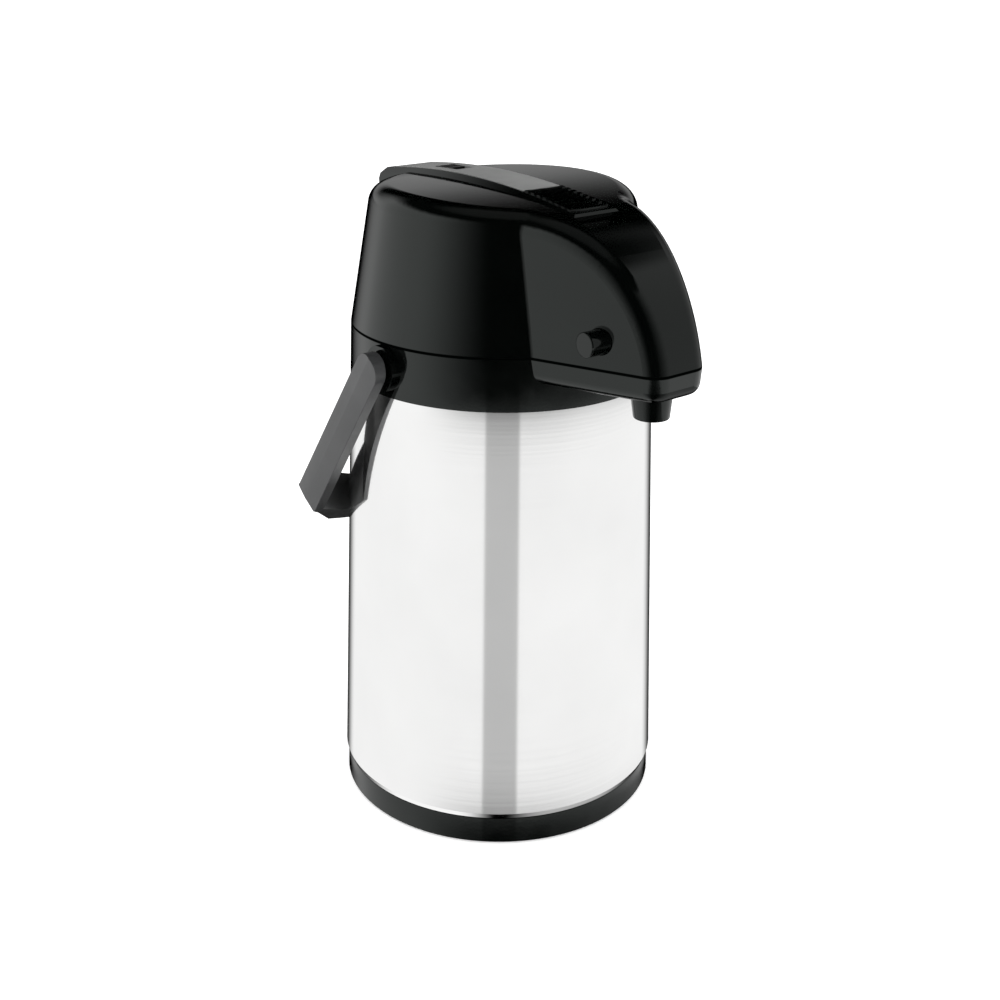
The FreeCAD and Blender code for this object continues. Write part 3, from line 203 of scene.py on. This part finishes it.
def polished_steel(name, tone, rough, streak, streak_bump):
    """Steel with fine streaks round it, faint clouds and uneven gloss."""
    material, tree, shader = new_material(name)
    streaks = noise(tree, place(tree, streak), scale=1, detail=3, rough=0.6)
    clouds = noise(tree, place(tree), scale=18, detail=3)
    dark = tuple(CLOUD_SHADE * channel for channel in tone)
    tree.links.new(two_tone(tree, clouds, dark, tone), shader.inputs["Base Color"])
    tree.links.new(remap(tree, streaks, *rough), shader.inputs["Roughness"])
    bump(tree, shader, streaks, strength=streak_bump, distance=0.00005)
    shader.inputs["Metallic"].default_value = 1
    return material


def silvered_glass(name):
    """Glass of the vacuum flask with its mirror coating."""
    material, tree, shader = new_material(name)
    where = place(tree)
    clouds = noise(tree, where, scale=25, detail=4)
    tree.links.new(two_tone(tree, clouds, (0.78, 0.79, 0.8), (0.88, 0.88, 0.87)),
                   shader.inputs["Base Color"])
    uneven = noise(tree, where, scale=60, detail=3)
    tree.links.new(remap(tree, uneven, low=0.03, high=0.09), shader.inputs["Roughness"])
    ripples = noise(tree, where, scale=14, detail=2)
    bump(tree, shader, ripples, strength=0.05, distance=0.0006)
    shader.inputs["Metallic"].default_value = 0.95
    return material


def rubber(name, dark, light):
    """Matt rubber: cloudy tone and a fine grain."""
    material, tree, shader = new_material(name)
    where = place(tree)
    clouds = noise(tree, where, scale=60, detail=3)
    uneven = noise(tree, where, scale=140, detail=3)
    tree.links.new(two_tone(tree, clouds, dark, light), shader.inputs["Base Color"])
    tree.links.new(remap(tree, uneven, low=0.55, high=0.75), shader.inputs["Roughness"])
    grain = noise(tree, where, scale=1600, detail=2)
    bump(tree, shader, grain, strength=0.25, distance=0.0001)
    shader.inputs["Specular IOR Level"].default_value = 0.35
    return material


# plastic: name, dark and light tone, roughness range, grain scale and strength, gloss, tint of
# the gloss; polished_steel: name, tone, roughness range, streak scale and strength; rubber:
# name, dark and light tone
GREENISH = (0.93, 1.0, 0.965)
BLACK = ((0.0006, 0.0009, 0.0008), (0.0011, 0.0015, 0.0013))
MATERIALS = {
    "black_gloss": plastic("black_gloss", *BLACK, (0.05, 0.085), 900, 0.012, 0.5, GREENISH),
    "black_cover": plastic("black_cover", *BLACK, (0.05, 0.085), 900, 0.012, 0.5, GREENISH),
    "black_base": plastic("black_base", *BLACK, (0.04, 0.07), 900, 0.01, 0.42, GREENISH),
    "black_matte": plastic("black_matte", (0.003, 0.0033, 0.003), (0.005, 0.0055, 0.005),
                           (0.24, 0.34), 1500, 0.12, 0.4),
    "grey_matte": plastic("grey_matte", (0.2, 0.203, 0.2), (0.24, 0.243, 0.24),
                          (0.3, 0.38), 1800, 0.2, 0.6),
    "handle_satin": plastic("handle_satin", (0.03, 0.031, 0.032), (0.04, 0.041, 0.042),
                            (0.3, 0.38), 1600, 0.12, 0.7),
    "tube_plastic": plastic("tube_plastic", (0.62, 0.61, 0.58), (0.7, 0.69, 0.66),
                            (0.3, 0.42), 1200, 0.05),
    "spacer_pad": plastic("spacer_pad", (0.42, 0.4, 0.37), (0.5, 0.48, 0.45),
                          (0.6, 0.75), 900, 0.2),
    "casing_steel": polished_steel("casing_steel", (0.975, 0.975, 0.97), (0.07, 0.095),
                                   (4, 4, 900), 0.012),
    "pin_steel": polished_steel("pin_steel", (0.62, 0.62, 0.63), (0.2, 0.32),
                                (300, 300, 300), 0.1),
    "flask_glass": silvered_glass("flask_glass"),
    "foot_rubber": rubber("foot_rubber", (0.008, 0.008, 0.008), (0.014, 0.014, 0.014)),
    "seal_rubber": rubber("seal_rubber", (0.36, 0.35, 0.33), (0.45, 0.44, 0.41)),
    "bellows_rubber": rubber("bellows_rubber", (0.035, 0.035, 0.035), (0.055, 0.055, 0.055)),
}

# the collar and the lid meet at this height
JOINT_HEIGHT = 0.2337
JOINT_HALF_WIDTH = 0.0009
joint_line(MATERIALS["black_cover"], JOINT_HEIGHT, JOINT_HALF_WIDTH)


def dress(obj, slot_name, finish=None):
    obj.data.materials.clear()
    obj.data.materials.append(MATERIALS[finish or slot_name])


slots = {entry["node"]: entry["material_slot"] for entry in frame["record"]["subparts"]}
FINISHES = {"base_cup": "black_base", "lock_slider": "black_matte", "spout_nozzle": "black_base",
            "collar": "black_cover", "lid_shell": "black_cover", "release_button": "black_base"}
for node_name, node in nodes.items():
    dress(node, slots[node_name], FINISHES.get(node_name))


WELD_DISTANCE = 2e-6
FLAT_ANGLE = math.radians(0.6)
EDGE_ANGLE = math.radians(28)
CREASE_ANGLE = math.radians(40)


def softened(node_name, name, width, segments):
    """A node's form with its sharp edges rounded; it stands for the node."""
    node = nodes[node_name]
    mesh = bpy.data.meshes.new(name)
    work = bmesh.new()
    work.from_mesh(node.data)
    bmesh.ops.remove_doubles(work, verts=work.verts, dist=WELD_DISTANCE)
    bmesh.ops.dissolve_limit(work, angle_limit=FLAT_ANGLE, verts=work.verts,
                             edges=work.edges)
    sharp = [e for e in work.edges
             if len(e.link_faces) == 2 and e.calc_face_angle() > EDGE_ANGLE]
    bmesh.ops.bevel(work, geom=sharp, offset=width, offset_type="OFFSET", segments=segments,
                    profile=0.5, affect="EDGES", clamp_overlap=True)
    bmesh.ops.recalc_face_normals(work, faces=work.faces)
    for face in work.faces:
        face.smooth = True
    work.to_mesh(mesh)
    work.free()
    mesh.set_sharp_from_angle(angle=CREASE_ANGLE)
    piece = bpy.data.objects.new(name, mesh)
    scene.collection.objects.link(piece)
    weighted = piece.modifiers.new("even_normals", "WEIGHTED_NORMAL")
    weighted.keep_sharp = True
    weighted.weight = 90
    dress(piece, slots[node_name], FINISHES.get(node_name))
    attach(piece, node["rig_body"])
    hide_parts(node_name)


# node, piece, width of the rounded edge in metres, steps across it
SOFTENED = (
    ("handle", "bail_handle", 0.0024, 4),
    ("lever", "press_lever", 0.0006, 3),
    ("lever_inlay", "lever_panel", 0.00022, 2),
    ("release_button", "push_button", 0.0009, 4),
    ("spout_nozzle", "pour_nozzle", 0.0006, 3),
    ("lock_slider", "lever_lock", 0.0003, 2),
)
for settings in SOFTENED:
    softened(*settings)

# ---------------------------------------------------------------- floor, light and camera

VIEW_AZIMUTH = math.radians(-40.0)
CAMERA_AWAY = 0.82064
CAMERA_HEIGHT = 0.443624
CASING_RADIUS = max(vertex.co.x for vertex in nodes["casing"].data.vertices)
# an upright wall turned by an angle mirrors about twice that angle
WALL_TURN = 0.48
FLOOR_HALF = 6
FLOOR_DROP = 0.0002
PLAIN_LIGHT = 1.25
RIGHT = Vector((math.cos(VIEW_AZIMUTH), math.sin(VIEW_AZIMUTH), 0))
TO_CAMERA = Vector((math.sin(VIEW_AZIMUTH), -math.cos(VIEW_AZIMUTH), 0))


def make_floor():
    mesh = bpy.data.meshes.new("floor")
    work = bmesh.new()
    bmesh.ops.create_grid(work, x_segments=4, y_segments=4, size=FLOOR_HALF)
    bmesh.ops.translate(work, verts=work.verts, vec=(0, 0, -FLOOR_DROP))
    work.to_mesh(mesh)
    work.free()
    floor = bpy.data.objects.new("floor", mesh)
    scene.collection.objects.link(floor)
    material, tree, shader = new_material("floor_white")
    paper = noise(tree, place(tree), scale=3, detail=2)
    tree.links.new(two_tone(tree, paper, (0.93, 0.93, 0.93), (0.95, 0.95, 0.95)),
                   shader.inputs["Base Color"])
    shader.inputs["Roughness"].default_value = 0.9
    shader.inputs["Specular IOR Level"].default_value = 0.1
    shader.inputs["Emission Color"].default_value = (1, 1, 1, 1)
    shader.inputs["Emission Strength"].default_value = 0.4
    mesh.materials.append(material)
    floor.visible_glossy = False


# The studio's fades, each (where it is 0, where it is 1).  Turns are radians from the camera's
# side, negative to the left; rises are the sine of the elevation; casing ends are in metres.
STRIP_LEFT, STRIP_RIGHT = (-0.215, -0.165), (0.27, 0.22)
RIM_START = (2.42, 2.82)
LEFT_GAP, LEFT_BACK, LEFT_TOP = (-0.12, -1.25), (-2.75, -2.1), (0.72, 0.5)
RIGHT_GAP, RIGHT_BACK, RIGHT_TOP = (0.3, 1.5), (2.75, 2.1), (0.73, 0.67)
BACK_START, BACK_FLOOR, BACK_TOP = (2.1, 2.6), (0.04, 0.1), (0.34, 0.16)
OVERHEAD_START = (0.84, 0.97)
CASING_FOOT, CASING_HEAD = (0.0092, 0.0112), (0.21, 0.206)
LOW_LIGHT, STRIP_DEPTH, RIM_DEPTH = 0.93, 0.41, 0.95
RIGHT_LIGHT, BACK_LIGHT, OVERHEAD_LIGHT = 0.44, 0.36, 0.13


def along(tree, direction, axis):
    node = add(tree, "ShaderNodeVectorMath", operation="DOT_PRODUCT")
    tree.links.new(direction, node.inputs[0])
    node.inputs[1].default_value = axis
    return node.outputs["Value"]


def make_studio():
    """Plain white for diffuse light; a pattern of boxes and a dark gap for glossy rays.

    One band of the pattern is for the casing alone.  Its edges are worked out from the
    camera's place, so they fit the main view and slide over the steel in any other.
    """
    world = bpy.data.worlds.new("studio")
    scene.world = world
    world.use_nodes = True
    tree = world.node_tree
    tree.nodes.clear()

    def fade(value, ends):
        return step_up(tree, value, *ends)

    direction = add(tree, "ShaderNodeTexCoord").outputs["Generated"]
    ahead = along(tree, direction, TO_CAMERA)
    side = along(tree, direction, RIGHT)
    rise = along(tree, direction, (0, 0, 1))
    turn = value_math(tree, "ARCTAN2", side, ahead)
    apart = value_math(tree, "ABSOLUTE", turn)
    # low zone, seen in the casing: bright all round, with a soft grey strip
    strip = product(tree, fade(turn, STRIP_LEFT), fade(turn, STRIP_RIGHT))
    low = value_math(tree, "SUBTRACT", LOW_LIGHT, product(tree, strip, STRIP_DEPTH))
    low = product(tree, low, value_math(
        tree, "SUBTRACT", 1.0, product(tree, fade(apart, RIM_START), RIM_DEPTH)))
    # high zone, seen in the lid: boxes that grow away from the gap, and a faint one behind
    left = product(tree, fade(turn, LEFT_GAP), fade(turn, LEFT_BACK), fade(rise, LEFT_TOP))
    right = product(tree, fade(turn, RIGHT_GAP), fade(turn, RIGHT_BACK), fade(rise, RIGHT_TOP),
                    RIGHT_LIGHT)
    back = product(tree, fade(apart, BACK_START), fade(rise, BACK_FLOOR),
                   fade(rise, BACK_TOP), BACK_LIGHT)
    overhead = product(tree, fade(rise, OVERHEAD_START), OVERHEAD_LIGHT)
    high = value_math(tree, "ADD", value_math(tree, "ADD", left, right), back)
    high = value_math(tree, "ADD", high, overhead)
    # how high up a wall of the casing's radius a ray from the main view was mirrored
    facing = value_math(tree, "COSINE", product(tree, turn, WALL_TURN))
    away = value_math(tree, "SUBTRACT", CAMERA_AWAY, product(tree, facing, CASING_RADIUS))
    flat = value_math(tree, "SQRT", value_math(
        tree, "SUBTRACT", 1.0, product(tree, rise, rise)))
    slope = value_math(tree, "DIVIDE", rise, flat)
    height = value_math(tree, "ADD", CAMERA_HEIGHT, product(tree, slope, away))
    casing = product(tree, fade(height, CASING_FOOT), fade(height, CASING_HEAD))
    zone = value_math(tree, "SUBTRACT", 1.0, casing)
    mix = add(tree, "ShaderNodeMix", data_type="FLOAT")
    tree.links.new(zone, mix.inputs[0])
    tree.links.new(low, mix.inputs[2])
    tree.links.new(high, mix.inputs[3])
    studio = add(tree, "ShaderNodeBackground")
    studio.inputs["Color"].default_value = (1, 1, 1, 1)
    tree.links.new(mix.outputs[0], studio.inputs["Strength"])
    plain = add(tree, "ShaderNodeBackground")
    plain.inputs["Color"].default_value = (1, 1, 1, 1)
    plain.inputs["Strength"].default_value = PLAIN_LIGHT
    path = add(tree, "ShaderNodeLightPath")
    chooser = add(tree, "ShaderNodeMixShader")
    tree.links.new(path.outputs["Is Glossy Ray"], chooser.inputs[0])
    tree.links.new(plain.outputs[0], chooser.inputs[1])
    tree.links.new(studio.outputs[0], chooser.inputs[2])
    output = add(tree, "ShaderNodeOutputWorld")
    tree.links.new(chooser.outputs[0], output.inputs["Surface"])
    world.cycles.sampling_method = "NONE"


def make_camera():
    """The picture's verticals are parallel: a level view, sheared by the rig the camera is on."""
    # in widths of the picture: the lens, and how far the picture's middle lies beside and
    # below the level line of sight
    focal, aside, below = 1.5376, -0.00514, 0.57638
    roll = 0.0091
    up = Vector((0, 0, 1))
    column = math.cos(roll) * RIGHT + math.sin(roll) * up
    row = -math.sin(roll) * RIGHT + math.cos(roll) * up
    aim = -focal * TO_CAMERA + aside * column - below * row
    reach = aim.length
    back = -aim / reach
    place_at = CAMERA_AWAY * TO_CAMERA + Vector((0, 0, CAMERA_HEIGHT))
    data = bpy.data.cameras.new("camera")
    data.sensor_width = 36
    data.lens = data.sensor_width * reach
    data.clip_start = 0.01
    camera = bpy.data.objects.new("camera", data)
    rig = bpy.data.objects.new("camera_rig", None)
    for thing in (rig, camera):
        scene.collection.objects.link(thing)
    camera.parent = rig
    camera.matrix_parent_inverse = Matrix((
        (column.x, row.x, back.x, place_at.x),
        (column.y, row.y, back.y, place_at.y),
        (column.z, row.z, back.z, place_at.z),
        (0, 0, 0, 1),
    ))
    scene.camera = camera


make_floor()
make_studio()
make_camera()
scene.view_settings.view_transform = "Standard"
